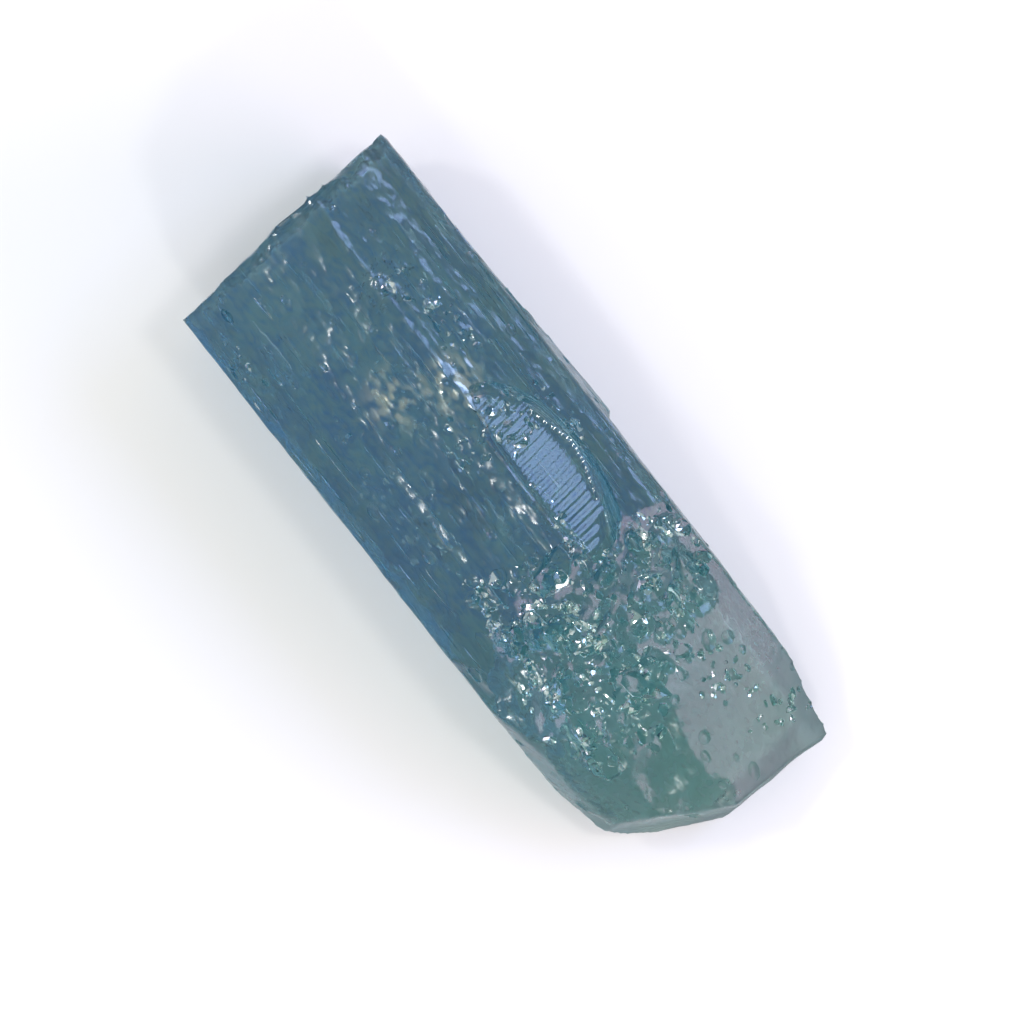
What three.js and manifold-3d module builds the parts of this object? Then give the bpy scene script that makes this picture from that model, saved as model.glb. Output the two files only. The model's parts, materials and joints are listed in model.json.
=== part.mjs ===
// Aquamarine crystal: a broken prism of blue beryl that lies on one of its prism faces.
// Millimetres, +Z up. X runs along the crystal's long axis, from the flat parted end to the
// broken end, and the origin is on the surface it rests on, under the middle of its box.
import * as THREE from 'three';
import { mergeVertices } from 'three/addons/utils/BufferGeometryUtils.js';
import Module from 'manifold-3d';

const wasm = await Module();
wasm.setup();

// Driving dimensions
const LENGTH = 25.2;
const AXIS_HEIGHT = 4.0;
const BLANK_END = 3;

// Beryl grows first-order prism faces 60 degrees apart and second-order faces between them.
// Each face has its turn about the long axis, from straight up towards +Y, and its distance
// from that axis. The distances differ, so the section is a lopsided polygon.
const PRISM_FACES = [
  { name: 'top', turn: 0, away: 4.0 },
  { name: 'upper bevel', turn: 30, away: 4.11 },
  { name: 'right side', turn: 90, away: 4.5 },
  { name: 'lower side', turn: 120, away: 4.6 },
  { name: 'base', turn: 180, away: 4.0 },
  { name: 'left underside', turn: 240, away: 4.5 },
  { name: 'left face', turn: 270, away: 4.61 },
  { name: 'left bevel', turn: 330, away: 4.66 },
];

// A seeded generator of numbers from 0 to 1, so that each build gives the same crystal
function seeded(seed) {
  let state = seed >>> 0;
  return () => {
    state = (state + 0x6d2b79f5) >>> 0;
    let t = state;
    t = Math.imul(t ^ (t >>> 15), t | 1);
    t ^= t + Math.imul(t ^ (t >>> 7), t | 61);
    return ((t ^ (t >>> 14)) >>> 0) / 4294967296;
  };
}

const between = (random, low, high) => low + (high - low) * random();
const degrees = (angle) => THREE.MathUtils.degToRad(angle);

// Solids: a closed three.js geometry becomes a solid, and a solid becomes a geometry again.
function solidOf(geometry) {
  const bare = geometry.index ? geometry.toNonIndexed() : geometry.clone();
  bare.deleteAttribute('normal');
  bare.deleteAttribute('uv');
  const merged = mergeVertices(bare, 1e-5);
  return new wasm.Manifold(new wasm.Mesh({
    numProp: 3,
    vertProperties: new Float32Array(merged.attributes.position.array),
    triVerts: new Uint32Array(merged.index.array),
  }));
}

function geometryOf(solid) {
  const mesh = solid.getMesh();
  const geometry = new THREE.BufferGeometry();
  geometry.setAttribute('position', new THREE.BufferAttribute(mesh.vertProperties, 3));
  geometry.setIndex(new THREE.BufferAttribute(mesh.triVerts, 1));
  return geometry;
}

// A frame that stands on point with its Z along normal and its X as near as it can be to along
function frameAt(point, normal, along = new THREE.Vector3(1, 0, 0)) {
  const z = normal.clone().normalize();
  const reference = Math.abs(z.dot(along)) > 0.95 ? new THREE.Vector3(0, 1, 0) : along;
  const y = new THREE.Vector3().crossVectors(z, reference).normalize();
  const x = new THREE.Vector3().crossVectors(y, z);
  return new THREE.Matrix4().makeBasis(x, y, z).setPosition(point);
}

const vector = (x, y, z) => new THREE.Vector3(x, y, z);

// The prism blank

// The outward normal of a prism face, in space
function faceNormal(face) {
  return vector(0, Math.sin(degrees(face.turn)), Math.cos(degrees(face.turn)));
}

// Where two prism faces meet, as a point of the section: x is along +Y and y is along +Z.
function sectionCorner(first, second) {
  const [a, b] = [faceNormal(first), faceNormal(second)];
  const area = a.y * b.z - a.z * b.y;
  return new THREE.Vector2(
    (first.away * b.z - second.away * a.z) / area,
    (a.y * second.away - b.y * first.away) / area + AXIS_HEIGHT,
  );
}

const sectionCorners = PRISM_FACES.map((face, i) =>
  sectionCorner(face, PRISM_FACES[(i + 1) % PRISM_FACES.length]));

function prismBlank() {
  const outline = new THREE.Shape([...sectionCorners].reverse());
  const depth = LENGTH + 2 * BLANK_END;
  const geometry = new THREE.ExtrudeGeometry(outline, { depth, bevelEnabled: false });
  const sectionToSpace = new THREE.Matrix4().makeBasis(
    vector(0, 1, 0), vector(0, 0, 1), vector(1, 0, 0));
  sectionToSpace.setPosition(-depth / 2, 0, 0);
  return solidOf(geometry.applyMatrix4(sectionToSpace));
}

// Growth lines: long needles that taper to nothing at both ends, cut into the prism faces or
// raised on them. They run along the crystal, as beryl's striations do.
const LINES_PER_MM = 2.6;
const LINE_LENGTH = [3.5, 15];
const LINE_WIDTH = [0.16, 0.5];
const LINE_DEPTH = [0.04, 0.1];
const TOP_LINE_DEPTH = [0.025, 0.05];
const RAISED_SHARE = 0.35;

// The two ends of a prism face in the section, with the face's frame at its middle
function faceSpan(index) {
  const start = sectionCorners[(index + PRISM_FACES.length - 1) % PRISM_FACES.length];
  const end = sectionCorners[index];
  const middle = vector(0, (start.x + end.x) / 2, (start.y + end.y) / 2);
  return { middle, width: start.distanceTo(end), normal: faceNormal(PRISM_FACES[index]) };
}

function needle(length, width, depth) {
  const shape = new THREE.OctahedronGeometry(1);
  return shape.scale(length / 2, width / 2, depth);
}

function growthLines(index, random) {
  const { middle, width, normal } = faceSpan(index);
  const cuts = [];
  const ridges = [];
  const count = Math.round(width * LINES_PER_MM);
  const { name } = PRISM_FACES[index];
  const depths = name === 'top' ? TOP_LINE_DEPTH : LINE_DEPTH;
  for (let i = 0; i < count; i += 1) {
    const across = ((i + between(random, 0.25, 0.75)) / count - 0.5) * width * 0.92;
    const along = between(random, -LENGTH * 0.46, LENGTH * 0.4);
    const line = needle(
      between(random, ...LINE_LENGTH),
      between(random, ...LINE_WIDTH),
      between(random, ...depths),
    );
    line.rotateZ(degrees(between(random, -0.8, 0.8)));
    line.translate(along, across, 0);
    const solid = solidOf(line.applyMatrix4(frameAt(middle, normal)));
    if (name !== 'base' && random() < RAISED_SHARE) ridges.push(solid);
    else cuts.push(solid);
  }
  return { cuts, ridges };
}

// Growth ledges: long plates that are tilted a little. One long side stands proud of the prism
// face as a straight step, the other sinks into the face, and the step dies out at one end.
const LEDGES = [
  { face: 'right side', from: -9.4, to: -0.4, step: 0.9, width: -1.9, rise: 0.34, fall: -1 },
  { face: 'right side', from: -5.8, to: 8.2, step: 0.2, width: -1.1, rise: 0.2, fall: 1 },
  { face: 'upper bevel', from: -13.5, to: -5.0, step: 0.9, width: -1.2, rise: 0.1, fall: 1 },
  { face: 'left bevel', from: -14, to: -1.6, step: -0.55, width: 1.6, rise: 0.1, fall: 1 },
  { face: 'left bevel', from: -3.5, to: 4.4, step: 0.7, width: -1.5, rise: 0.1, fall: -1 },
  { face: 'left underside', from: -14, to: -4.6, step: 1.6, width: -1.9, rise: 0.2, fall: 1 },
  { face: 'left underside', from: -10.5, to: 4.4, step: 0.6, width: -1.9, rise: 0.16, fall: 1 },
  { face: 'left underside', from: -2.5, to: 9.4, step: -0.3, width: -1.3, rise: 0.14, fall: -1 },
  { face: 'lower side', from: -9, to: 6, step: 0.2, width: -1.1, rise: 0.14, fall: 1 },
  { face: 'top', from: -14, to: -4.4, step: -1.5, width: 2.6, rise: 0.1, fall: 1 },
  { face: 'top', from: -6.2, to: 3.6, step: 0.75, width: -1.7, rise: 0.08, fall: -1 },
];
const LEDGE_THICK = 0.8;
const LEDGE_SLANT = 0.55;

function ledge({ face, from, to, step, width, rise, fall }) {
  const index = PRISM_FACES.findIndex((each) => each.name === face);
  const { middle, normal } = faceSpan(index);
  const plate = new THREE.BoxGeometry(to - from, Math.abs(width), LEDGE_THICK);
  plate.translate(0, width / 2, -LEDGE_THICK / 2);
  const corners = plate.attributes.position;
  for (let i = 0; i < corners.count; i += 1) {
    corners.setX(i, corners.getX(i) + LEDGE_SLANT * corners.getY(i));
  }
  plate.rotateX(-Math.sign(width) * Math.atan((rise * 1.25) / Math.abs(width)));
  plate.rotateY(fall * Math.atan((rise * 0.9) / (to - from)));
  plate.translate((from + to) / 2, step, rise * 0.55);
  return solidOf(plate.applyMatrix4(frameAt(middle, normal)));
}

// Fractures: each takes off all that lies beyond a plane, and may leave that plane rough.
const CUT_SIZE = 24;
const CUT_DEPTH = 12;

// Smooth noise from 0 to 1 over a plane
function noiseAt(u, v, seed) {
  const lattice = (i, j) => {
    const value = Math.sin(i * 127.1 + j * 311.7 + seed * 74.7) * 43758.5453;
    return value - Math.floor(value);
  };
  const [i, j] = [Math.floor(u), Math.floor(v)];
  const ease = (t) => t * t * (3 - 2 * t);
  const [s, t] = [ease(u - i), ease(v - j)];
  const low = lattice(i, j) + s * (lattice(i + 1, j) - lattice(i, j));
  const high = lattice(i, j + 1) + s * (lattice(i + 1, j + 1) - lattice(i, j + 1));
  return low + t * (high - low);
}

// The block that a fracture removes. Its inner side has cells of the stated size, whose
// corners are moved by broad waves and by chance, so that it leaves small flat facets.
function fractureBlock({ point, normal, cell = CUT_SIZE, wave = 0, chip = 0, seed = 1 }) {
  const cells = Math.round(CUT_SIZE / cell);
  const block = new THREE.BoxGeometry(CUT_SIZE, CUT_SIZE, CUT_DEPTH, cells, cells, 1);
  block.translate(0, 0, CUT_DEPTH / 2);
  block.deleteAttribute('normal');
  block.deleteAttribute('uv');
  const merged = mergeVertices(block, 1e-4);
  const random = seeded(seed);
  const corners = merged.attributes.position;
  for (let i = 0; i < corners.count; i += 1) {
    if (corners.getZ(i) > 1e-3) continue;
    const [u, v] = [corners.getX(i), corners.getY(i)];
    const inside = Math.max(Math.abs(u), Math.abs(v)) < CUT_SIZE / 2 - 1e-3;
    const shift = inside ? cell * 0.32 : 0;
    const height = wave * (noiseAt(u * 0.35, v * 0.35, seed) - 0.5) * 2
      + chip * (random() - 0.5) * 2;
    corners.setXYZ(
      i,
      u + shift * between(random, -1, 1),
      v + shift * between(random, -1, 1),
      height,
    );
  }
  return solidOf(merged.applyMatrix4(frameAt(vector(...point), vector(...normal))));
}

const FRACTURES = [
  // The parted end is nearly flat and five degrees off square.
  {
    point: [-12.0, 0, 4], normal: [-0.995, -0.095, -0.02],
    cell: 2, wave: 0.1, chip: 0.03, seed: 3,
  },
  // The broken end's one smooth facet slopes down to the tip.
  { point: [8, 0.8, 5.1], normal: [0.43, 0.36, 0.83], cell: 2.4, wave: 0.16, seed: 8 },
  // The hackly break between the sound part of the top face and that facet
  { point: [3.6, -0.6, 7.85], normal: [0.46, -0.1, 0.88], cell: 0.85, wave: 0.3, chip: 0.2, seed: 5 },
  // The tip, the corner over it, and the oblique break along the tip's left side
  { point: [12.5, 1.6, 2.5], normal: [1, 0.02, 0.08], cell: 1.6, wave: 0.1, chip: 0.05, seed: 12 },
  { point: [11.6, 4.0, 3], normal: [0.5, 0.84, 0.2], cell: 2, wave: 0.08, chip: 0.04, seed: 14 },
  { point: [11.9, -1.3, 2.6], normal: [0.86, -0.47, 0.2], cell: 1.4, wave: 0.12, chip: 0.07, seed: 16 },
  { point: [9.6, -3.6, 4.4], normal: [0.36, -0.86, 0.36], cell: 1.3, wave: 0.14, chip: 0.08, seed: 18 },
  // The smooth break under the hackly zone, and the undercut below the tip
  { point: [9.4, -2.2, 4.9], normal: [0.5, -0.46, 0.73], cell: 2.2, wave: 0.1, chip: 0.03, seed: 20 },
  { point: [11.9, 0.6, 0.6], normal: [0.62, 0.05, -0.78], cell: 1.5, wave: 0.12, chip: 0.06, seed: 22 },
];

// Shell-shaped scars: shallow bowls that a blow leaves, rippled in rings round the place that
// was struck. The plane of the rim lies just outside the crystal.
const SCARS = [
  // The long bluish scar that fills the upper bevel, straight along its lower side
  {
    centre: [-0.4, 1.5, 7.95], normal: [0.04, 0.4, 0.915], radii: [3.9, 2.3], depth: 0.75,
    flatten: 0.8, ripples: 6, ripple: 0.03, rings: 9, spokes: 20,
  },
  // The hollow in the hackly break
  {
    centre: [4.5, -1.2, 7.75], normal: [0.35, -0.1, 0.94], radii: [2.5, 1.4], depth: 0.85,
    ripples: 4, ripple: 0.1, rings: 6, spokes: 15,
  },
  // Two rippled hollows in the parted end
  {
    centre: [-12.13, 0.9, 5.2], normal: [-0.995, -0.095, -0.02], radii: [2.5, 3.0], depth: 0.3,
    ripples: 5, ripple: 0.035, rings: 7, spokes: 16,
  },
  {
    centre: [-11.85, -1.5, 2.4], normal: [-0.995, -0.095, -0.02], radii: [1.5, 1.7], depth: 0.24,
    ripples: 4, ripple: 0.025, rings: 5, spokes: 14,
  },
  { centre: [-5.8, 4.72, 4.9], normal: [0.1, 0.97, 0.25], radii: [1.7, 0.8], depth: 0.55 },
  { centre: [6.4, 4.6, 6.1], normal: [0.1, 0.8, 0.6], radii: [2.0, 0.9], depth: 0.6 },
  { centre: [-1.0, -4.9, 5.7], normal: [0, -1, 0.1], radii: [2.9, 0.9], depth: 0.5 },
  { centre: [-12.2, -1.5, 8.15], normal: [-0.7, 0, 0.7], radii: [0.75, 0.8], depth: 0.35 },
  { centre: [3.9, -4.7, 6.8], normal: [0.1, -0.8, 0.6], radii: [1.7, 0.7], depth: 0.45 },
  { centre: [-12.4, 2.6, 7.4], normal: [-0.8, 0.4, 0.5], radii: [0.7, 1.1], depth: 0.4 },
  { centre: [-8.4, -1.7, -0.1], normal: [0, -0.6, -0.8], radii: [1.3, 0.6], depth: 0.35 },
  { centre: [5.0, 3.4, -0.1], normal: [0.1, 0.6, -0.8], radii: [1.8, 0.7], depth: 0.45 },
  { centre: [-12.2, -3.9, 5.2], normal: [-0.8, -0.6, 0.1], radii: [0.9, 1.2], depth: 0.4 },
];
const SCAR_TOP = 2.5;

// A closed bowl: rings of its floor from the middle out to the rim, and a lid far over it
function scar(spec, seed) {
  const { centre, normal, radii, depth, flatten = 0 } = spec;
  const { ripples = 2.5, ripple = 0.04, rings = 5, spokes = 13 } = spec;
  const random = seeded(seed);
  const bulges = Array.from({ length: spokes }, () => between(random, 0.88, 1.1));
  const struck = new THREE.Vector2(-radii[0] * 0.8, radii[1] * between(random, -0.6, 0.6));
  const places = [0, 0, -depth];
  const triangles = [];
  const at = (ring, spoke) => 1 + (ring - 1) * spokes + (spoke % spokes);
  for (let ring = 1; ring <= rings + 1; ring += 1) {
    const share = Math.min(ring, rings) / rings;
    for (let spoke = 0; spoke < spokes; spoke += 1) {
      const angle = (2 * Math.PI * spoke) / spokes;
      const x = radii[0] * share * bulges[spoke] * Math.cos(angle);
      const reach = Math.sin(angle) < 0 ? 1 - flatten : 1;
      const y = radii[1] * share * bulges[spoke] * Math.sin(angle) * reach;
      const wave = Math.cos((struck.distanceTo(new THREE.Vector2(x, y)) / radii[0]) * Math.PI * ripples);
      const floor = -depth * (1 - share ** 2.4) + ripple * wave * (1 - share ** 4);
      places.push(x, y, ring > rings ? SCAR_TOP : floor);
      const [here, next] = [at(ring, spoke), at(ring, spoke + 1)];
      if (ring === 1) triangles.push(0, next, here);
      else {
        const [inner, innerNext] = [at(ring - 1, spoke), at(ring - 1, spoke + 1)];
        triangles.push(inner, next, here, inner, innerNext, next);
      }
    }
  }
  const lid = places.length / 3;
  places.push(0, 0, SCAR_TOP);
  for (let spoke = 0; spoke < spokes; spoke += 1) {
    triangles.push(lid, at(rings + 1, spoke), at(rings + 1, spoke + 1));
  }
  const bowl = new THREE.BufferGeometry();
  bowl.setAttribute('position', new THREE.Float32BufferAttribute(places, 3));
  bowl.setIndex(triangles);
  return solidOf(bowl.applyMatrix4(frameAt(vector(...centre), vector(...normal))));
}

// Where a ray towards the long axis first meets the surface
function surfaceAt(x, outward, target) {
  const start = vector(x, 0, AXIS_HEIGHT).addScaledVector(outward, 12);
  const [hit] = new THREE.Raycaster(start, outward.clone().negate()).intersectObject(target);
  return hit;
}

// Etch pits: small six-sided pits that fluids have eaten into the faces. They crowd together
// towards the broken end.
const PITS = { count: 46, width: [0.25, 0.75], depth: 0.42 };

function pit(random, target) {
  const share = Math.sqrt(random());
  const turn = between(random, -100, 100);
  const outward = vector(0, Math.sin(degrees(turn)), Math.cos(degrees(turn)));
  const hit = surfaceAt(THREE.MathUtils.lerp(-10.5, 11, share), outward, target);
  const width = between(random, ...PITS.width) * (0.6 + 0.5 * share);
  const cone = new THREE.ConeGeometry(width / 2, width * PITS.depth * 2, 6);
  cone.scale(between(random, 1, 2.1), 1, 1);
  cone.rotateX(-Math.PI / 2);
  cone.rotateZ(degrees(between(random, -14, 14)));
  return solidOf(cone.applyMatrix4(frameAt(hit.point, hit.face.normal)));
}

// Etch steps: angular hollows that mostly lie along the crystal. They fill the hackly zone,
// which has its four corners stated in X and Y.
const STEPS = {
  count: 90, length: [0.35, 1.3], width: [0.25, 0.75], depth: [0.12, 0.36], skew: 0.22,
};
const HACKLY_ZONE = { near: [[1.4, -2.6], [3.6, 4.0]], far: [[8.8, -2.8], [6.0, 3.6]] };

// A box whose corners are each moved by a share of its size
function skewedBox(size, skew, random) {
  const moves = Array.from({ length: 8 }, () =>
    vector(between(random, -skew, skew), between(random, -skew, skew), between(random, -skew, skew)));
  const box = new THREE.BoxGeometry(1, 1, 1);
  const corners = box.attributes.position;
  for (let i = 0; i < corners.count; i += 1) {
    const corner = new THREE.Vector3().fromBufferAttribute(corners, i);
    const index = (corner.x > 0 ? 4 : 0) + (corner.y > 0 ? 2 : 0) + (corner.z > 0 ? 1 : 0);
    corner.add(moves[index]).multiply(size);
    corners.setXYZ(i, corner.x, corner.y, corner.z);
  }
  return box;
}

function etchStep(random, target) {
  const [along, across] = [random(), random()];
  const edge = ([low, high]) =>
    new THREE.Vector2(...low).lerp(new THREE.Vector2(...high), across);
  const place = edge(HACKLY_ZONE.near).lerp(edge(HACKLY_ZONE.far), along);
  const down = new THREE.Raycaster(vector(place.x, place.y, 20), vector(0, 0, -1));
  const [hit] = down.intersectObject(target);
  const size = vector(
    between(random, ...STEPS.length),
    between(random, ...STEPS.width),
    2 * between(random, ...STEPS.depth),
  );
  const box = skewedBox(size, STEPS.skew, random);
  box.rotateZ(degrees([0, 0, 60, -60][Math.floor(random() * 4)] + between(random, -8, 8)));
  box.rotateX(degrees(between(random, -24, 24)));
  box.rotateY(degrees(between(random, -24, 24)));
  return solidOf(box.applyMatrix4(frameAt(hit.point, hit.face.normal)));
}

// Chips: small angular pieces missing from the prism edges
const CHIPS = { count: 26, size: [0.3, 0.85], skew: 0.25 };

function edgeChip(random) {
  const edge = Math.floor(random() * PRISM_FACES.length);
  const corner = sectionCorners[edge];
  const [before, after] = [PRISM_FACES[edge], PRISM_FACES[(edge + 1) % PRISM_FACES.length]];
  const outward = faceNormal(before).add(faceNormal(after)).normalize();
  const size = between(random, ...CHIPS.size);
  const chip = skewedBox(vector(size * between(random, 0.8, 2.6), size, size), CHIPS.skew, random);
  chip.rotateZ(degrees(between(random, -25, 25)));
  chip.rotateX(degrees(45));
  const point = vector(between(random, -12, 8), corner.x, corner.y);
  point.addScaledVector(outward, size * between(random, 0.42, 0.6));
  return solidOf(chip.applyMatrix4(frameAt(point, outward)));
}

function crystalSolid() {
  const lineRandom = seeded(41);
  const lines = PRISM_FACES.map((_, index) => growthLines(index, lineRandom));
  const raised = [...LEDGES.map(ledge), ...lines.flatMap(({ ridges }) => ridges)];
  const lined = prismBlank().subtract(wasm.Manifold.union(lines.flatMap(({ cuts }) => cuts)));
  const grown = wasm.Manifold.union([lined, ...raised]);
  const chipRandom = seeded(23);
  const breaks = [
    ...FRACTURES.map(fractureBlock),
    ...SCARS.map((each, i) => scar(each, 60 + i)),
    ...Array.from({ length: CHIPS.count }, () => edgeChip(chipRandom)),
  ];
  const broken = grown.subtract(wasm.Manifold.union(breaks));

  const target = new THREE.Mesh(geometryOf(broken), new THREE.MeshBasicMaterial());
  const etchRandom = seeded(78);
  const pits = Array.from({ length: PITS.count }, () => pit(etchRandom, target));
  const steps = Array.from({ length: STEPS.count }, () => etchStep(etchRandom, target));
  const etched = broken.subtract(wasm.Manifold.union([...pits, ...steps]));

  // Crumbs that the cuts leave loose fall away.
  const bodies = etched.decompose();
  return bodies.reduce((whole, each) => (each.volume() > whole.volume() ? each : whole));
}

// Sets the geometry down with its lowest point on Z = 0 and its box centred on the origin.
function setDown(geometry) {
  geometry.computeBoundingBox();
  const { min, max } = geometry.boundingBox;
  return geometry.translate(-(min.x + max.x) / 2, -(min.y + max.y) / 2, -min.z);
}

const aquamarine = new THREE.MeshStandardMaterial({
  color: 0x4f7f96, roughness: 0.12, metalness: 0,
});

const crystal = new THREE.Mesh(setDown(geometryOf(crystalSolid())), aquamarine);
crystal.name = 'aquamarine_crystal';

const group = new THREE.Group();
group.add(crystal);

export default group;
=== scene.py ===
import json
import math
import random

import bmesh
import bpy
from mathutils import Matrix, Vector

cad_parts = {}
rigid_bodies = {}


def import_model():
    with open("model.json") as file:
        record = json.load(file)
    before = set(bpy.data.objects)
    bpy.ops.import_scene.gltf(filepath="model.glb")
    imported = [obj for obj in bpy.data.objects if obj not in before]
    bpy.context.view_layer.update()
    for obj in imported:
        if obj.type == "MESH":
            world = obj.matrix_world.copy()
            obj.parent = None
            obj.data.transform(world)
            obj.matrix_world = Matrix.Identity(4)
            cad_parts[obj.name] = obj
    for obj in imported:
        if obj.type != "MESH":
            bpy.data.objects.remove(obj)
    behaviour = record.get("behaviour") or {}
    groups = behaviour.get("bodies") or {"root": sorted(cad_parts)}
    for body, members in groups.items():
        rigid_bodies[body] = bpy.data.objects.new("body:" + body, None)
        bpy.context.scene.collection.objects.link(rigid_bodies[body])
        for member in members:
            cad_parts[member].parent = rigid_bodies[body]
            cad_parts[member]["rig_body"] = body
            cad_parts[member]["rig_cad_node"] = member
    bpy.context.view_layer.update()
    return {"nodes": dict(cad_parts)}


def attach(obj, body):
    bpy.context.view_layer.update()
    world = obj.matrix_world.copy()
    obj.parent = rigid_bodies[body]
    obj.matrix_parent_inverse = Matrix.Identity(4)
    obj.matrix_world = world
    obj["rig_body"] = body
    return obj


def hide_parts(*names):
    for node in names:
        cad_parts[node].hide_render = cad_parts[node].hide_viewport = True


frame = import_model()

# The crystal is one prism of blue beryl, grown in a single piece, that parted flat at one end
# and broke at the other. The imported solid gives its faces, ledges, scars and breaks. A copy of
# it is merged here and given a skin of even facets, fine enough to be etched.
MM = 0.001
MERGE_WITHIN = 0.0004 * MM
SKIN = 0.16 * MM


def select_only(*pieces):
    bpy.ops.object.select_all(action="DESELECT")
    for piece in pieces:
        piece.select_set(True)
    bpy.context.view_layer.objects.active = pieces[0]


select_only(frame["nodes"]["aquamarine_crystal"])
bpy.ops.object.duplicate()
crystal = bpy.context.active_object
crystal.name = "crystal"
bpy.ops.object.parent_clear(type="CLEAR")
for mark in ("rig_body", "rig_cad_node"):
    del crystal[mark]
bpy.ops.object.mode_set(mode="EDIT")
bpy.ops.mesh.select_all(action="SELECT")
bpy.ops.mesh.remove_doubles(threshold=MERGE_WITHIN)
bpy.ops.object.mode_set(mode="OBJECT")
skin = crystal.modifiers.new("skin", "REMESH")
skin.mode = "VOXEL"
skin.voxel_size = SKIN
bpy.ops.object.modifier_apply(modifier=skin.name)


# The relief is what growth and hot fluids left on the whole surface: long growth lines and
# shallow etch pits on the prism faces, which give them a satin look, and shell-shaped waves on
# the breaks. It only goes inwards.
RELIEFS = (
    {"on": "faces", "kind": "CLOUDS", "stretch": (3.5, 1.3, 1.3), "depth": 0.07},
    {"on": "faces", "kind": "CLOUDS", "stretch": (3.0, 0.35, 0.35), "depth": 0.02},
    {"on": "faces", "kind": "VORONOI", "stretch": (0.8, 0.5, 0.5), "depth": 0.025},
    {"on": "faces", "kind": "CLOUDS", "stretch": (0.5, 0.34, 0.34), "depth": 0.03},
    {"on": "breaks", "kind": "CLOUDS", "stretch": (2.0, 1.4, 1.4), "depth": 0.1},
    {"on": "underside", "kind": "CLOUDS", "stretch": (1.2, 0.7, 0.7), "depth": 0.09},
)
BREAK_SLANT = 0.3
UNDERSIDE_SLANT = -0.3
LEDGES_FROM = 2.8 * MM


def patch(name, chosen):
    """Marks where on the skin a relief goes: chosen tells it from a point."""
    marked = [point.index for point in crystal.data.vertices if chosen(point)]
    crystal.vertex_groups.new(name=name).add(marked, 1, "REPLACE")


def relief(on, kind, stretch, depth):
    """Etches a pattern, stretched to the sizes given in millimetres, into one patch."""
    bpy.ops.object.empty_add()
    ruler = bpy.context.active_object
    ruler.scale = [size * MM for size in stretch]
    grain = bpy.data.textures.new("grain", kind)
    grain.noise_scale = 1
    select_only(crystal)
    etch = crystal.modifiers.new("etch", "DISPLACE")
    etch.texture = grain
    etch.texture_coords = "OBJECT"
    etch.texture_coords_object = ruler
    etch.vertex_group = on
    etch.strength = depth * MM
    etch.mid_level = 1
    bpy.ops.object.modifier_apply(modifier=etch.name)
    bpy.data.objects.remove(ruler)


patch("faces", lambda point: abs(point.normal.x) < BREAK_SLANT)
patch("breaks", lambda point: abs(point.normal.x) >= BREAK_SLANT)
patch(
    "underside",
    lambda point: point.normal.z < UNDERSIDE_SLANT and abs(point.co.y) < LEDGES_FROM,
)
for sizes in RELIEFS:
    relief(**sizes)
crystal.vertex_groups.clear()


# The growth grooves are the sharper lines along the crystal, where layers of its prism faces
# ended. They are needle-shaped, thinner than a hair, and lie in lanes side by side.
LONG_AXIS = Vector((0, 0, 4 * MM))
RAY_START = 20
GROOVE_PASSES = 2
LAST_TURN = 150
LANE_TURN = 5.0
LANE_STARTS = (-12.5, -9)
LANE_END = 11
FACE_SLANT = 0.2
GROOVE_LENGTH = (0.6, 2.6)
GROOVE_WIDTH = (0.05, 0.14)
GROOVE_DEPTH = (0.015, 0.05)
GROOVE_SPIN = 0.008
GROOVE_GAP = 1.05
TOP_GROOVES = 0.2
SIDE_GROOVES = 0.5
SIDES_FROM = 45
dice = random.Random(11)


def either_way(most):
    """A chance value of up to most, to one side or the other."""
    return dice.uniform(-most, most)


def surface_towards(start, direction):
    """The place and normal where a ray meets the crystal, or None."""
    found, place, normal, _ = crystal.ray_cast(start, direction)
    return (place, normal) if found else None


def surface_at(x, turn):
    """The same for a ray that comes in towards the long axis, turned from straight up."""
    outward = Vector((0, math.sin(math.radians(turn)), math.cos(math.radians(turn))))
    return surface_towards(LONG_AXIS + Vector((x, 0, 0)) + outward * RAY_START * MM, -outward)


def standing(place, normal, spin=0.0):
    """A frame on the surface: Z points outwards and X runs along the crystal, then spins."""
    z = normal.normalized()
    along = Vector((1, 0, 0)) if abs(z.x) < 0.9 else Vector((0, 1, 0))
    y = z.cross(along).normalized()
    axes = Matrix((y.cross(z), y, z)).transposed().to_4x4()
    return Matrix.Translation(place) @ axes @ Matrix.Rotation(spin, 4, "Z")


def sized(x, y, z):
    return Matrix.Diagonal((x, y, z, 1))


def copy_of(model, placing):
    piece = model.copy()
    piece.data = model.data.copy()
    piece.data.transform(placing)
    bpy.context.scene.collection.objects.link(piece)
    return piece


def cut_away(cutters):
    """Takes cutters off the crystal. They don't touch each other, so they act as one."""
    select_only(*cutters)
    bpy.ops.object.join()
    tool = bpy.context.active_object
    select_only(crystal)
    cut = crystal.modifiers.new("cut", "BOOLEAN")
    cut.operation = "DIFFERENCE"
    cut.solver = "MANIFOLD"
    cut.object = tool
    bpy.ops.object.modifier_apply(modifier=cut.name)
    bpy.data.objects.remove(tool)


bpy.ops.object.select_all(action="DESELECT")
bpy.ops.mesh.primitive_uv_sphere_add(
    segments=6, ring_count=4, radius=1, rotation=(0, math.pi / 2, 0)
)
needle = bpy.context.active_object
bpy.ops.object.transform_apply(rotation=True)

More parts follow.
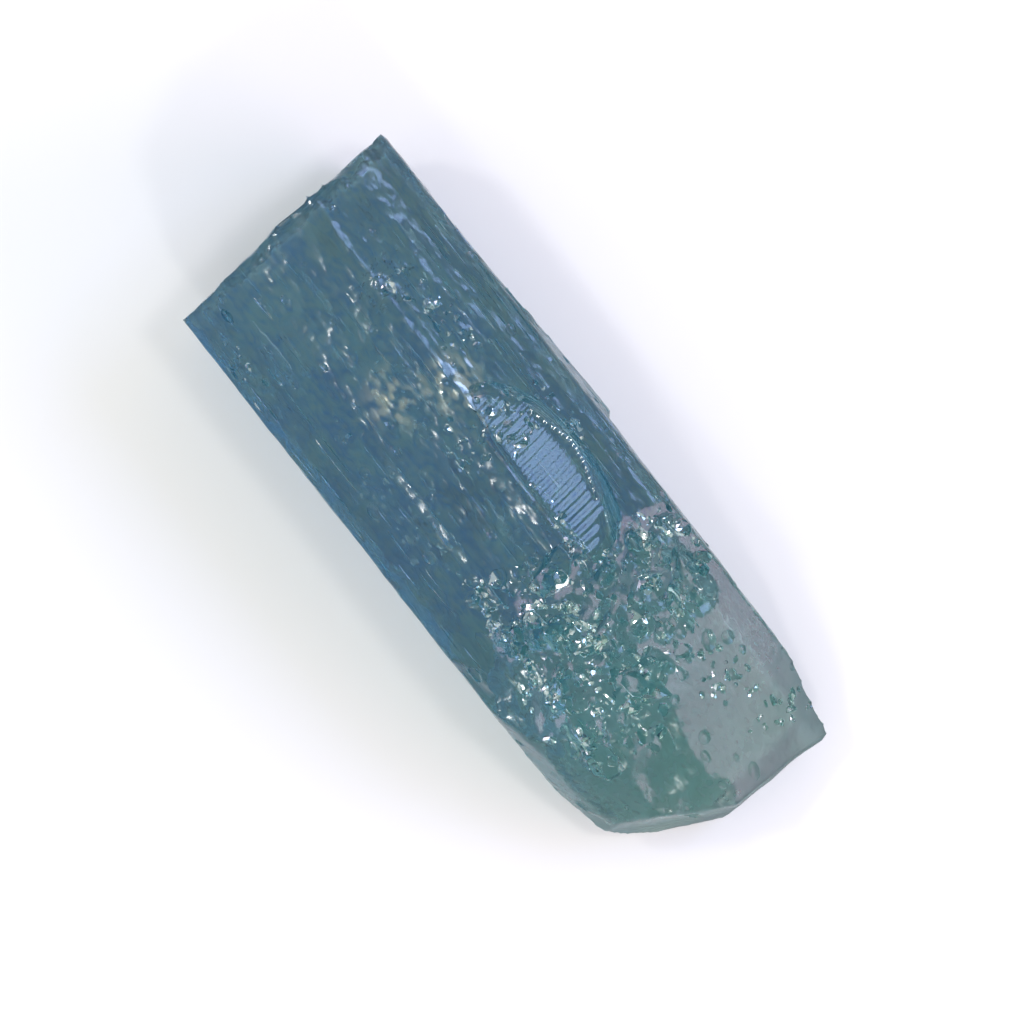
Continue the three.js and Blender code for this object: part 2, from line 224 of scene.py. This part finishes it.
for groove_pass in range(GROOVE_PASSES):
    grooves = []
    for lane in range(int(2 * LAST_TURN / LANE_TURN)):
        turn = -LAST_TURN + (lane + groove_pass / GROOVE_PASSES) * LANE_TURN
        share = TOP_GROOVES if abs(turn) < SIDES_FROM else SIDE_GROOVES
        x = dice.uniform(*LANE_STARTS) * MM
        while x < LANE_END * MM:
            length = dice.uniform(*GROOVE_LENGTH) * MM
            met = surface_at(x + length / 2, turn)
            if met and abs(met[1].x) < FACE_SLANT and dice.random() < share:
                width = dice.uniform(*GROOVE_WIDTH) * MM
                depth = dice.uniform(*GROOVE_DEPTH) * MM
                placing = standing(*met, either_way(GROOVE_SPIN))
                grooves.append(copy_of(needle, placing @ sized(length / 2, width / 2, depth)))
            x += length * GROOVE_GAP
    cut_away(grooves)


# Etch pits are the larger hollows that the fluids ate into the faces. They crowd towards the
# broken end, and their rims catch the light as small rings.
PIT_PASSES = 2
PITS = 170
PITS_FROM = -12
PITS_OVER = 24
PIT_CROWDING = 0.7
PIT_WIDTH = (0.25, 0.7)
PIT_FILL = (0.7, 1)
PIT_STRETCH = (1, 1.7)
PIT_DEPTH = (0.25, 0.5)
PIT_SPIN = 0.3


def spread(tries, pick):
    """Picks places on the surface, and keeps those that stay clear of the ones before."""
    kept = []
    for _ in range(tries):
        met, reach = pick()
        if met and all((met[0] - place).length > reach + other for place, _, other in kept):
            kept.append((*met, reach))
    return kept


def pit_place():
    x = (PITS_FROM + PITS_OVER * dice.random() ** PIT_CROWDING) * MM
    width = PIT_WIDTH[0] + (PIT_WIDTH[1] - PIT_WIDTH[0]) * dice.random() ** 2
    return surface_at(x, either_way(LAST_TURN)), width * MM


bpy.ops.object.select_all(action="DESELECT")
bpy.ops.mesh.primitive_uv_sphere_add(segments=8, ring_count=5, radius=1)
pit = bpy.context.active_object

for _ in range(PIT_PASSES):
    pits = []
    for place, normal, reach in spread(PITS, pit_place):
        width = reach * 0.5 * dice.uniform(*PIT_FILL)
        length = width * dice.uniform(*PIT_STRETCH)
        depth = width * dice.uniform(*PIT_DEPTH)
        placing = standing(place, normal, either_way(PIT_SPIN))
        pits.append(copy_of(pit, placing @ sized(length, width, depth)))
    cut_away(pits)


# The hackly break is the crumbly, sugary zone between the sound part and the sloping facet.
# The blow left it full of small angular steps. Air in the cracks behind some of them mirrors
# the light, so those are silvery, most of all in a few crushed clusters. Loose bruises and
# single chips like that lie further out.
CRUMB_PASSES = (
    {"tries": 90, "widths": (0.6, 1.3), "silver": 0.12},
    {"tries": 160, "widths": (0.4, 0.8), "silver": 0.34},
    {"tries": 320, "widths": (0.25, 0.5), "silver": 0.6},
    {"tries": 450, "widths": (0.14, 0.3), "silver": 0.6},
    {"tries": 400, "widths": (0.12, 0.24), "silver": 0.5},
)
CRUMB_FILL = 0.55
CRUMB_LEAN = 0.6
CRUMB_SPINS = (0, 0, 1.05, -1.05)
CRUMB_STRETCH = (1, 1.8)
CRUMB_DEPTH = (0.4, 0.8)
CRUMB_SKEW = 0.2
CRUMB_SHINE = (0.15, 1)
ZONE_NEAR = ((1.2, -2.5), (1.9, 0.4), (3.0, 4.2))
ZONE_FAR = ((8.3, -3.4), (9.3, -1.0), (5.2, 4.2))
CRUSHED = (
    ((4.4, -0.8), (1.8, 0.9)), ((3.2, -1.7), (0.9, 0.5)), ((5.1, -2.9), (1.0, 0.6)),
    ((7.6, -2.9), (1.0, 0.6)), ((6.6, -3.8), (0.6, 0.4)), ((2.0, -2.5), (1.2, 0.4)),
    ((3.4, 3.9), (1.3, 0.6)), ((4.6, 2.0), (0.5, 0.4)), ((6.6, 0.8), (0.8, 0.8)),
    ((8.4, -0.8), (0.6, 0.7)), ((6.8, -1.8), (0.7, 0.4)),
)
CRUSHED_CORE = 1.2
LEAST_SILVER = 0.2
STREAKS = (
    ((1.0, -2.1), (2.6, -2.9)), ((2.4, -2.8), (4.8, -2.7)), ((4.4, -2.9), (6.0, -2.6)),
    ((2.4, -1.9), (3.6, -0.5)), ((3.3, -0.4), (5.6, -0.5)), ((4.2, 0.4), (4.8, -0.7)),
    ((6.8, -2.7), (8.2, -3.0)), ((5.9, 0.3), (7.0, 0.1)), ((4.4, -3.3), (5.6, -3.6)),
    ((5.4, -1.6), (7.4, -1.2)), ((2.4, 3.2), (3.6, 3.6)),
)
STREAK_PASSES = 2
STREAK_START = (0.05, 0.2)
STREAK_WANDER = 0.06
STREAK_WIDTH = (0.12, 0.28)
SLIVER_LENGTH = (0.2, 0.6)
SLIVER_TRIM = 2.4
SLIVER_SPIN = 0.15
SLIVER_GAP = 1.1
SLIVER_SHINE = (0.3, 1)
BRUISES = (
    {"at": (3.6, -2.7), "reach": (2.4, 0.2), "crumbs": 90},
    {"at": (4.6, -0.9), "reach": (1.1, 0.5), "crumbs": 60},
    {"at": (-2.4, 1.7), "reach": (1.0, 0.6), "crumbs": 50},
    {"at": (1.5, 1.1), "reach": (1.3, 0.15), "crumbs": 30},
    {"at": (3.1, 1.6), "reach": (0.3, 0.5), "crumbs": 16},
    {"at": (-1.6, 3.3), "reach": (1.2, 0.2), "crumbs": 24},
    {"at": (-6.6, 2.2), "reach": (1.6, 0.5), "crumbs": 36},
    {"at": (-8.5, 1.3), "reach": (0.5, 0.4), "crumbs": 16},
    {"at": (-2.6, 0.2), "reach": (0.9, 0.5), "crumbs": 16},
    {"at": (-9.4, -4.0), "reach": (0.8, 0.4), "crumbs": 16},
    {"at": (8.5, 2.2), "reach": (1.3, 0.9), "crumbs": 26},
    {"at": (10.8, 3.0), "reach": (0.6, 0.9), "crumbs": 20},
)
BRUISE_PASSES = 2
BRUISE_SPREAD = 0.5
BRUISE_WIDTH = (0.1, 0.3)
BRUISE_SILVER = 0.8
CHIPS = (
    (-2.0, 2.4), (-2.0, 2.3), (-3.0, 1.4), (-2.2, 1.3), (-1.6, 1.7), (-1.1, 3.4), (1.2, 1.1),
    (1.3, 1.05), (2.1, 1.1), (3.0, 1.6), (4.6, 2.0), (6.3, 1.2), (6.9, 0.2), (7.9, 2.7),
    (7.6, 1.9), (8.7, -0.7), (10.6, 3.7), (-8.3, 1.4), (-7.0, 2.2), (-5.4, 2.6), (5.0, -3.3),
    (6.7, -3.7), (7.8, -3.0), (6.8, -1.9), (8.9, 1.8), (3.1, -1.5), (1.3, -2.3), (2.6, -2.8),
)
CHIP_PASSES = 2
CHIP_TRIES = 5
CHIP_SPREAD = 0.11
CHIP_WIDTH = (0.15, 0.36)
CHIP_SILVER = 0.75


def from_above(x, y):
    return surface_towards(Vector((x * MM, y * MM, RAY_START * MM)), Vector((0, 0, -1)))


def along(edge, share):
    """A point on a bent edge of the zone, from its first end to its last."""
    first, middle, last = (Vector(corner) for corner in edge)
    return first.lerp(middle, share * 2) if share < 0.5 else middle.lerp(last, share * 2 - 1)


def crumb_place(widths):
    across = dice.random()
    spot = along(ZONE_NEAR, across).lerp(along(ZONE_FAR, across), dice.random())
    return from_above(*spot), dice.uniform(*widths) * MM


def bruise_place():
    bruise = dice.choices(BRUISES, [bruise["crumbs"] for bruise in BRUISES])[0]
    x, y = (
        at + dice.gauss(0, BRUISE_SPREAD) * reach
        for at, reach in zip(bruise["at"], bruise["reach"])
    )
    return from_above(x, y), dice.uniform(*BRUISE_WIDTH) * MM


def chip_place():
    x, y = (at + dice.gauss(0, CHIP_SPREAD) for at in dice.choice(CHIPS))
    return from_above(x, y), dice.uniform(*CHIP_WIDTH) * MM


bpy.ops.object.select_all(action="DESELECT")
bpy.ops.mesh.primitive_ico_sphere_add(subdivisions=1, radius=1)
crumb = bpy.context.active_object


def mark(piece, name, pick):
    """Gives each facet a value that its material reads. A cut leaves it on the crystal."""
    for facet in piece.data.attributes.new(name, "FLOAT", "FACE").data:
        facet.value = pick()


def crushed(place):
    """How much of the silver a place gets: all in the middle of a cluster, little outside."""
    best = LEAST_SILVER
    for (x, y), (long, wide) in CRUSHED:
        away = math.hypot((place.x / MM - x) / long, (place.y / MM - y) / wide)
        best = max(best, CRUSHED_CORE - away)
    return min(best, 1)


def crumble(places, most_silver, share_at=lambda place: 1):
    """Knocks an angular crumb out of each place, and leaves a share of its facets silvery."""
    crumbs = []
    for place, normal, reach in places:
        silver = most_silver * share_at(place)
        width = reach * CRUMB_FILL
        lean = Matrix.Rotation(either_way(CRUMB_LEAN), 4, "X")
        placing = standing(place, normal, dice.choice(CRUMB_SPINS)) @ lean
        length = width * dice.uniform(*CRUMB_STRETCH)
        depth = width * dice.uniform(*CRUMB_DEPTH)
        piece = copy_of(crumb, placing @ sized(length, width, depth))
        for corner in piece.data.vertices:
            corner.co += Vector([either_way(CRUMB_SKEW) * width for _ in range(3)])
        mark(piece, "fresh", lambda: 1)
        mark(piece, "silvery", lambda: dice.uniform(*CRUMB_SHINE) if dice.random() < silver else 0)
        crumbs.append(piece)
    cut_away(crumbs)


for crumb_pass in CRUMB_PASSES:
    places = spread(crumb_pass["tries"], lambda: crumb_place(crumb_pass["widths"]))
    crumble(places, crumb_pass["silver"], crushed)

for _ in range(STREAK_PASSES):
    slivers = []
    for start, end in (map(Vector, streak) for streak in STREAKS):
        run = end - start
        spin = math.atan2(run.y, run.x)
        slid = dice.uniform(*STREAK_START)
        while slid < run.length:
            length = dice.uniform(*SLIVER_LENGTH)
            centre = start + run.normalized() * (slid + length / 2)
            met = from_above(centre.x, centre.y + either_way(STREAK_WANDER))
            width = dice.uniform(*STREAK_WIDTH) * MM / 2
            placing = standing(*met, spin + either_way(SLIVER_SPIN))
            shape = sized(length / SLIVER_TRIM * MM, width, width)
            sliver = copy_of(crumb, placing @ shape)
            mark(sliver, "fresh", lambda: 1)
            mark(sliver, "silvery", lambda: dice.uniform(*SLIVER_SHINE))
            slivers.append(sliver)
            slid += length * SLIVER_GAP
    cut_away(slivers)


# The long bluish scar on the upper bevel is a shell-shaped flake, knocked off by one blow. Its
# floor is rippled in fine rings round the place that was struck.
SCAR_CENTRE = Vector((-0.4, 1.5, 7.95)) * MM
SCAR_NORMAL = Vector((0.06, 0.34, 0.94))
SCAR_SIZE = (3.8, 2.2, 1.7)
SCAR_STRAIGHT = 0.2
SCAR_FLOOR = 0.8 * MM
SCAR_BOWL = 0.1
SCAR_STRUCK = Vector((-6.4, -0.5, 0)) * MM
RIPPLE_LENGTH = 0.3 * MM
RIPPLE_HEIGHT = 0.0085 * MM

bpy.ops.object.select_all(action="DESELECT")
bpy.ops.mesh.primitive_uv_sphere_add(
    segments=36, ring_count=200, radius=1, rotation=(0, math.pi / 2, 0)
)
flake = bpy.context.active_object
bpy.ops.object.transform_apply(rotation=True)
flake.data.transform(sized(*(size * MM for size in SCAR_SIZE)))
for point in flake.data.vertices:
    away = (point.co - SCAR_STRUCK).length
    point.co.z = max(point.co.z, SCAR_BOWL * point.co.z - SCAR_FLOOR)
    point.co.z += RIPPLE_HEIGHT * math.sin(2 * math.pi * away / RIPPLE_LENGTH)
    if point.co.y < 0:
        point.co.y *= SCAR_STRAIGHT
flake.data.transform(standing(SCAR_CENTRE, SCAR_NORMAL))
mark(flake, "fresh", lambda: 1)
cut_away([flake])
for _ in range(BRUISE_PASSES):
    places = spread(sum(bruise["crumbs"] for bruise in BRUISES), bruise_place)
    crumble(places, BRUISE_SILVER, crushed)
for _ in range(CHIP_PASSES):
    crumble(spread(CHIP_TRIES * len(CHIPS), chip_place), CHIP_SILVER)


# Inside are the things that cloud it: hollow tubes as fine as hairs that grew along the crystal,
# and healed cracks, which are sheets of tiny fluid drops. All are closed voids.
TUBES = 70
TUBE_SPANS = ((-10, 3.5), (-2.6, 2.8), (1.4, 6.2))
TUBE_LENGTH = (0.4, 3.2)
TUBE_WIDTH = (0.03, 0.06)
CRACKS = (
    {"centre": (-5.0, -0.2, 5.6), "radii": (1.7, 1.2), "lean": (0.5, 0.3), "drops": 100},
    {"centre": (-8.6, 1.2, 5.2), "radii": (1.1, 1.0), "lean": (-0.6, 0.9), "drops": 60},
    {"centre": (0.4, 0.3, 5.4), "radii": (1.6, 1.0), "lean": (0.4, -0.5), "drops": 80},
    {"centre": (4.6, 0.6, 3.2), "radii": (2.0, 1.3), "lean": (-0.4, 0.6), "drops": 80},
    {"centre": (-1.8, -2.4, 4.6), "radii": (2.2, 0.9), "lean": (0.8, 0.1), "drops": 80},
)
CRACK_BEND = 0.25
CRACK_WAVES = (1.7, 1.3)
DROP_WIDTH = (0.04, 0.16)
DROP_STRETCH = (1, 2.2)
DROP_HEIGHT = 0.35
LEAST_VOID = 1e-15
SHARP_FROM = 35

voids = []


def add_void(model, placing, centre, reach):
    """Keeps a void if it stays clear of the ones before."""
    if all((centre - other).length > reach + far for other, far, _ in voids):
        voids.append((centre, reach, copy_of(model, placing)))


for crack in CRACKS:
    lean = Matrix.Rotation(crack["lean"][0], 4, "X") @ Matrix.Rotation(crack["lean"][1], 4, "Y")
    sheet = Matrix.Translation(Vector(crack["centre"]) * MM) @ lean
    for _ in range(crack["drops"]):
        share, angle = math.sqrt(dice.random()), dice.uniform(0, 2 * math.pi)
        u = crack["radii"][0] * share * math.cos(angle) * MM
        v = crack["radii"][1] * share * math.sin(angle) * MM
        bend = CRACK_BEND * MM * math.sin(u / MM * CRACK_WAVES[0])
        bend *= math.cos(v / MM * CRACK_WAVES[1])
        width = dice.uniform(*DROP_WIDTH) * MM / 2
        length = width * dice.uniform(*DROP_STRETCH)
        shape = sized(length, width, width * DROP_HEIGHT)
        placing = sheet @ Matrix.Translation((u, v, bend)) @ shape
        add_void(needle, placing, placing.translation, length)

for _ in range(TUBES):
    length = dice.uniform(*TUBE_LENGTH) * MM / 2
    width = dice.uniform(*TUBE_WIDTH) * MM / 2
    centre = Vector([dice.uniform(*span) for span in TUBE_SPANS]) * MM
    add_void(needle, Matrix.Translation(centre) @ sized(length, width, width), centre, length)

cut_away([void for _, _, void in voids])
for model in (needle, pit, crumb):
    bpy.data.objects.remove(model)


def is_void(shell):
    """Whether a closed mesh faces inwards, round a space of more than the least size."""
    mesh = bmesh.new()
    mesh.from_mesh(shell.data)
    volume = mesh.calc_volume(signed=True)
    mesh.free()
    return volume < -LEAST_VOID


# Slivers that the cuts left loose fall away: all shells but the largest and the voids.
select_only(crystal)
bpy.ops.mesh.separate(type="LOOSE")
whole, *shells = sorted(bpy.context.selected_objects, key=lambda each: -len(each.data.polygons))
kept = [whole, *filter(is_void, shells)]
for sliver in [shell for shell in shells if shell not in kept]:
    bpy.data.objects.remove(sliver)
select_only(*kept)
bpy.ops.object.join()
crystal = bpy.context.active_object
crystal.name = "crystal"
bpy.ops.object.shade_smooth_by_angle(angle=math.radians(SHARP_FROM))


# The beryl itself is clear blue to blue-green, and it tints the light by how far that goes
# through it. Its surface is bright where it broke, more satin where it was etched, and matt low
# down. Two healed cracks near the top are stained cream. The long sides, far out from the axis,
# are darkened in part towards a dark teal, which is painted shade.
BERYL_IOR = 1.577
DEPTH_TINT = (0.03, 0.47, 0.6, 1)
DEPTH_DENSITY = 160
BLUE = (0.54, 0.72, 0.88, 1)
CLOUDED = (0.96, 0.96, 0.86, 1)
TEAL = (0.76, 0.92, 0.82, 1)
GREY_GREEN = (0.6, 0.79, 0.69, 1)
PAINTED_SIDE_SHADE = (0.2, 0.44, 0.45, 1)
CREAM = (0.86, 0.84, 0.64, 1)
SILVER = (0.86, 0.97, 0.94, 1)
STAINS = ((-5.3, -0.7, 7.8), (-4.5, 1.2, 7.7))
STAIN_EDGE = 1.3 * MM
STAIN_CORE = 0.2 * MM
STAIN_PATCHES = (0.4, 0.6)
CLOUDING = (0.36, 0.62)
BROKEN = (1.5 * MM, 4.5 * MM)
BROKEN_SWAY = 5 * MM
FACET = (7.4 * MM, 8.4 * MM)
FACET_SWAY = 3 * MM
LOW_DOWN = (3.4 * MM, 1.8 * MM)
PAINTED_SHADE_BAND = (3.1 * MM, 3.7 * MM)
PAINTED_SHADE_SHARE = 0.4
SILVER_SHINE = 0.85
STAIN_SHINE = 0.3
SATIN_MATT = 0.22
FACET_MATT = 0.1
LOW_MATT = 0.3
FRESH_MATT = 0.04
LEAST_MATT = 0.04
SATIN_RELIEF = 0.6
SATIN_DEPTH = 0.03 * MM


class Socket:
    """One output in a material, which can be written in sums."""

    tree = None

    def __init__(self, output):
        self.output = output

    @classmethod
    def of(cls, kind, settings=None, inputs=None, output=0):
        """Any node: its type, its settings, and the values or links of its sockets."""
        made = cls.tree.nodes.new(kind)
        for name, value in (settings or {}).items():
            setattr(made, name, value)
        for name, value in (inputs or {}).items():
            cls.feed(made.inputs[name], value)
        return cls(made.outputs[output])

    @classmethod
    def feed(cls, socket, value):
        if isinstance(value, Socket):
            cls.tree.links.new(value.output, socket)
        else:
            socket.default_value = value

    @classmethod
    def sum(cls, operation, first, second):
        return cls.of("ShaderNodeMath", {"operation": operation}, {0: first, 1: second})

    def __add__(self, other):
        return self.sum("ADD", self, other)

    def __radd__(self, other):
        return self.sum("ADD", other, self)

    def __sub__(self, other):
        return self.sum("SUBTRACT", self, other)

    def __rsub__(self, other):
        return self.sum("SUBTRACT", other, self)

    def __mul__(self, other):
        return self.sum("MULTIPLY", self, other)

    def __rmul__(self, other):
        return self.sum("MULTIPLY", other, self)

    def __abs__(self):
        return self.of("ShaderNodeMath", {"operation": "ABSOLUTE"}, {0: self})


beryl = bpy.data.materials.new("aquamarine")
beryl.use_nodes = True
Socket.tree = beryl.node_tree
surface = beryl.node_tree.nodes["Principled BSDF"]
surface.inputs["IOR"].default_value = BERYL_IOR
surface.inputs["Transmission Weight"].default_value = 1.0
depth_tint = beryl.node_tree.nodes.new("ShaderNodeVolumeAbsorption")
depth_tint.inputs["Color"].default_value = DEPTH_TINT
depth_tint.inputs["Density"].default_value = DEPTH_DENSITY
outside = beryl.node_tree.nodes["Material Output"]
beryl.node_tree.links.new(depth_tint.outputs[0], outside.inputs["Volume"])

spot = Socket.of("ShaderNodeTexCoord", output="Object")


def noise(stretch, detail):
    """A cloud pattern, stretched to the sizes given in millimetres."""
    scale = [1 / (MM * size) for size in stretch]
    grown = Socket.of("ShaderNodeMapping", None, {"Vector": spot, "Scale": scale})
    return Socket.of("ShaderNodeTexNoise", None, {"Vector": grown, "Scale": 1, "Detail": detail})


def step(value, low, high):
    """Rises from 0 to 1 as the value goes from low to high."""
    inputs = {"Value": value, "From Min": low, "From Max": high}
    return Socket.of("ShaderNodeMapRange", None, inputs)


def blend(share, first, second):
    """A colour that goes from the first to the second as the share rises."""
    inputs = {0: share, 6: first, 7: second}
    return Socket.of("ShaderNodeMix", {"data_type": "RGBA"}, inputs, 2)


def stain(x, y, z):
    """How near the surface is to one stained crack."""
    place = {0: spot, 1: (x * MM, y * MM, z * MM)}
    away = Socket.of("ShaderNodeVectorMath", {"operation": "DISTANCE"}, place, "Value")
    return step(away, STAIN_EDGE, STAIN_CORE)


clouds = noise((2.2, 1.3, 1.3), 1)
satin = noise((0.34, 0.2, 0.2), 0)
mottle = clouds + (satin - 0.5) * 0.7
x, y, z = (Socket.of("ShaderNodeSeparateXYZ", None, {"Vector": spot}, axis) for axis in "XYZ")
broken = step(x + (clouds - 0.5) * BROKEN_SWAY, *BROKEN)
facet = step(x + (mottle - 0.5) * FACET_SWAY, *FACET)
low_down = step(z, *LOW_DOWN)
painted_side_shade = step(abs(y), *PAINTED_SHADE_BAND)
silvery, fresh = (
    Socket.of("ShaderNodeAttribute", {"attribute_name": name}, None, "Fac")
    for name in ("silvery", "fresh")
)
stained = (stain(*STAINS[0]) + stain(*STAINS[1])) * step(mottle, *STAIN_PATCHES)
sound = blend(step(mottle, *CLOUDING), BLUE, CLOUDED)
tint = blend(broken, sound, blend(facet, TEAL, GREY_GREEN))
# Painted shade: the long sides, far out from the axis, are darkened in part towards dark teal.
tint = blend(stained, blend(painted_side_shade * PAINTED_SHADE_SHARE, tint, PAINTED_SIDE_SHADE), CREAM)
Socket.feed(surface.inputs["Base Color"], blend(silvery, tint, SILVER))
Socket.feed(surface.inputs["Metallic"], silvery * SILVER_SHINE + stained * STAIN_SHINE)
etched = (satin * SATIN_MATT + facet * FACET_MATT + low_down * LOW_MATT) * (1 - fresh)
Socket.feed(surface.inputs["Roughness"], etched + fresh * FRESH_MATT + LEAST_MATT)
grain = {"Height": satin * (1 - fresh), "Strength": SATIN_RELIEF, "Distance": SATIN_DEPTH}
Socket.feed(surface.inputs["Normal"], Socket.of("ShaderNodeBump", None, grain))
crystal.data.materials.clear()
crystal.data.materials.append(beryl)

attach(crystal, "root")
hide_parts("aquamarine_crystal")


# The set is a plain sheet of white paper under two soft boxes and three small lamps. The boxes
# stand where the scar and the sloping facet mirror them. Each has a name, the direction it lies
# in, its size in metres, how bright it looks, and its colour.
FLOOR_SIZE = 1.2
FLOOR_HEIGHT = -0.05 * MM
PAPER = (0.93, 0.93, 0.92, 1)
STUDIO_LIGHT = 0.75
WHITE = (1, 0.98, 0.95)
LAVENDER = (0.4, 0.54, 1)
MAUVE = (1, 0.72, 0.92)
BOXES = (
    ("window", (0.11, 0.64, 0.77), 0.14, 4.8, LAVENDER),
    ("side box", (0.71, 0.57, 0.38), 0.27, 2.2, MAUVE),
    ("lamp", (0.1, 0.2, 0.97), 0.04, 24, WHITE),
    ("left lamp", (-0.5, -0.3, 0.81), 0.04, 24, WHITE),
    ("right lamp", (0.6, -0.25, 0.76), 0.04, 24, WHITE),
)
LAMP_DISTANCE = 0.4

bpy.ops.object.select_all(action="DESELECT")
bpy.ops.mesh.primitive_plane_add(size=FLOOR_SIZE, location=(0, 0, FLOOR_HEIGHT))
floor = bpy.context.active_object
floor.name = "floor"
paper = bpy.data.materials.new("paper")
paper.use_nodes = True
paper.node_tree.nodes["Principled BSDF"].inputs["Base Color"].default_value = PAPER
paper.node_tree.nodes["Principled BSDF"].inputs["Roughness"].default_value = 0.9
floor.data.materials.append(paper)

world = bpy.data.worlds.new("studio")
bpy.context.scene.world = world
world.use_nodes = True
world.node_tree.nodes["Background"].inputs["Color"].default_value = (1, 1, 1, 1)
world.node_tree.nodes["Background"].inputs["Strength"].default_value = STUDIO_LIGHT


def soft_box(name, towards, size, bright, colour):
    """A square lamp that faces the crystal. Bright is how bright its face looks."""
    lamp = bpy.data.lights.new(name, "AREA")
    lamp.shape = "SQUARE"
    lamp.size = size
    lamp.energy = bright * 4 * size**2
    lamp.color = colour
    box = bpy.data.objects.new(name, lamp)
    box.location = Vector(towards).normalized() * LAMP_DISTANCE
    box.rotation_euler = (-box.location).to_track_quat("-Z", "Y").to_euler()
    bpy.context.scene.collection.objects.link(box)


for box in BOXES:
    soft_box(*box)


# The camera looks straight down, turned as the photograph shows the crystal.
VIEW_WIDTH = 34 * MM
VIEW_DISTANCE = 300 * MM
VIEW_TURN = 51.8

camera_data = bpy.data.cameras.new("camera")
camera_data.lens = camera_data.sensor_width * VIEW_DISTANCE / VIEW_WIDTH
camera = bpy.data.objects.new("camera", camera_data)
camera.location = LONG_AXIS + Vector((0, 0, VIEW_DISTANCE))
camera.rotation_euler = (0, 0, math.radians(VIEW_TURN))
bpy.context.scene.collection.objects.link(camera)
bpy.context.scene.camera = camera
bpy.context.scene.view_settings.view_transform = "Standard"
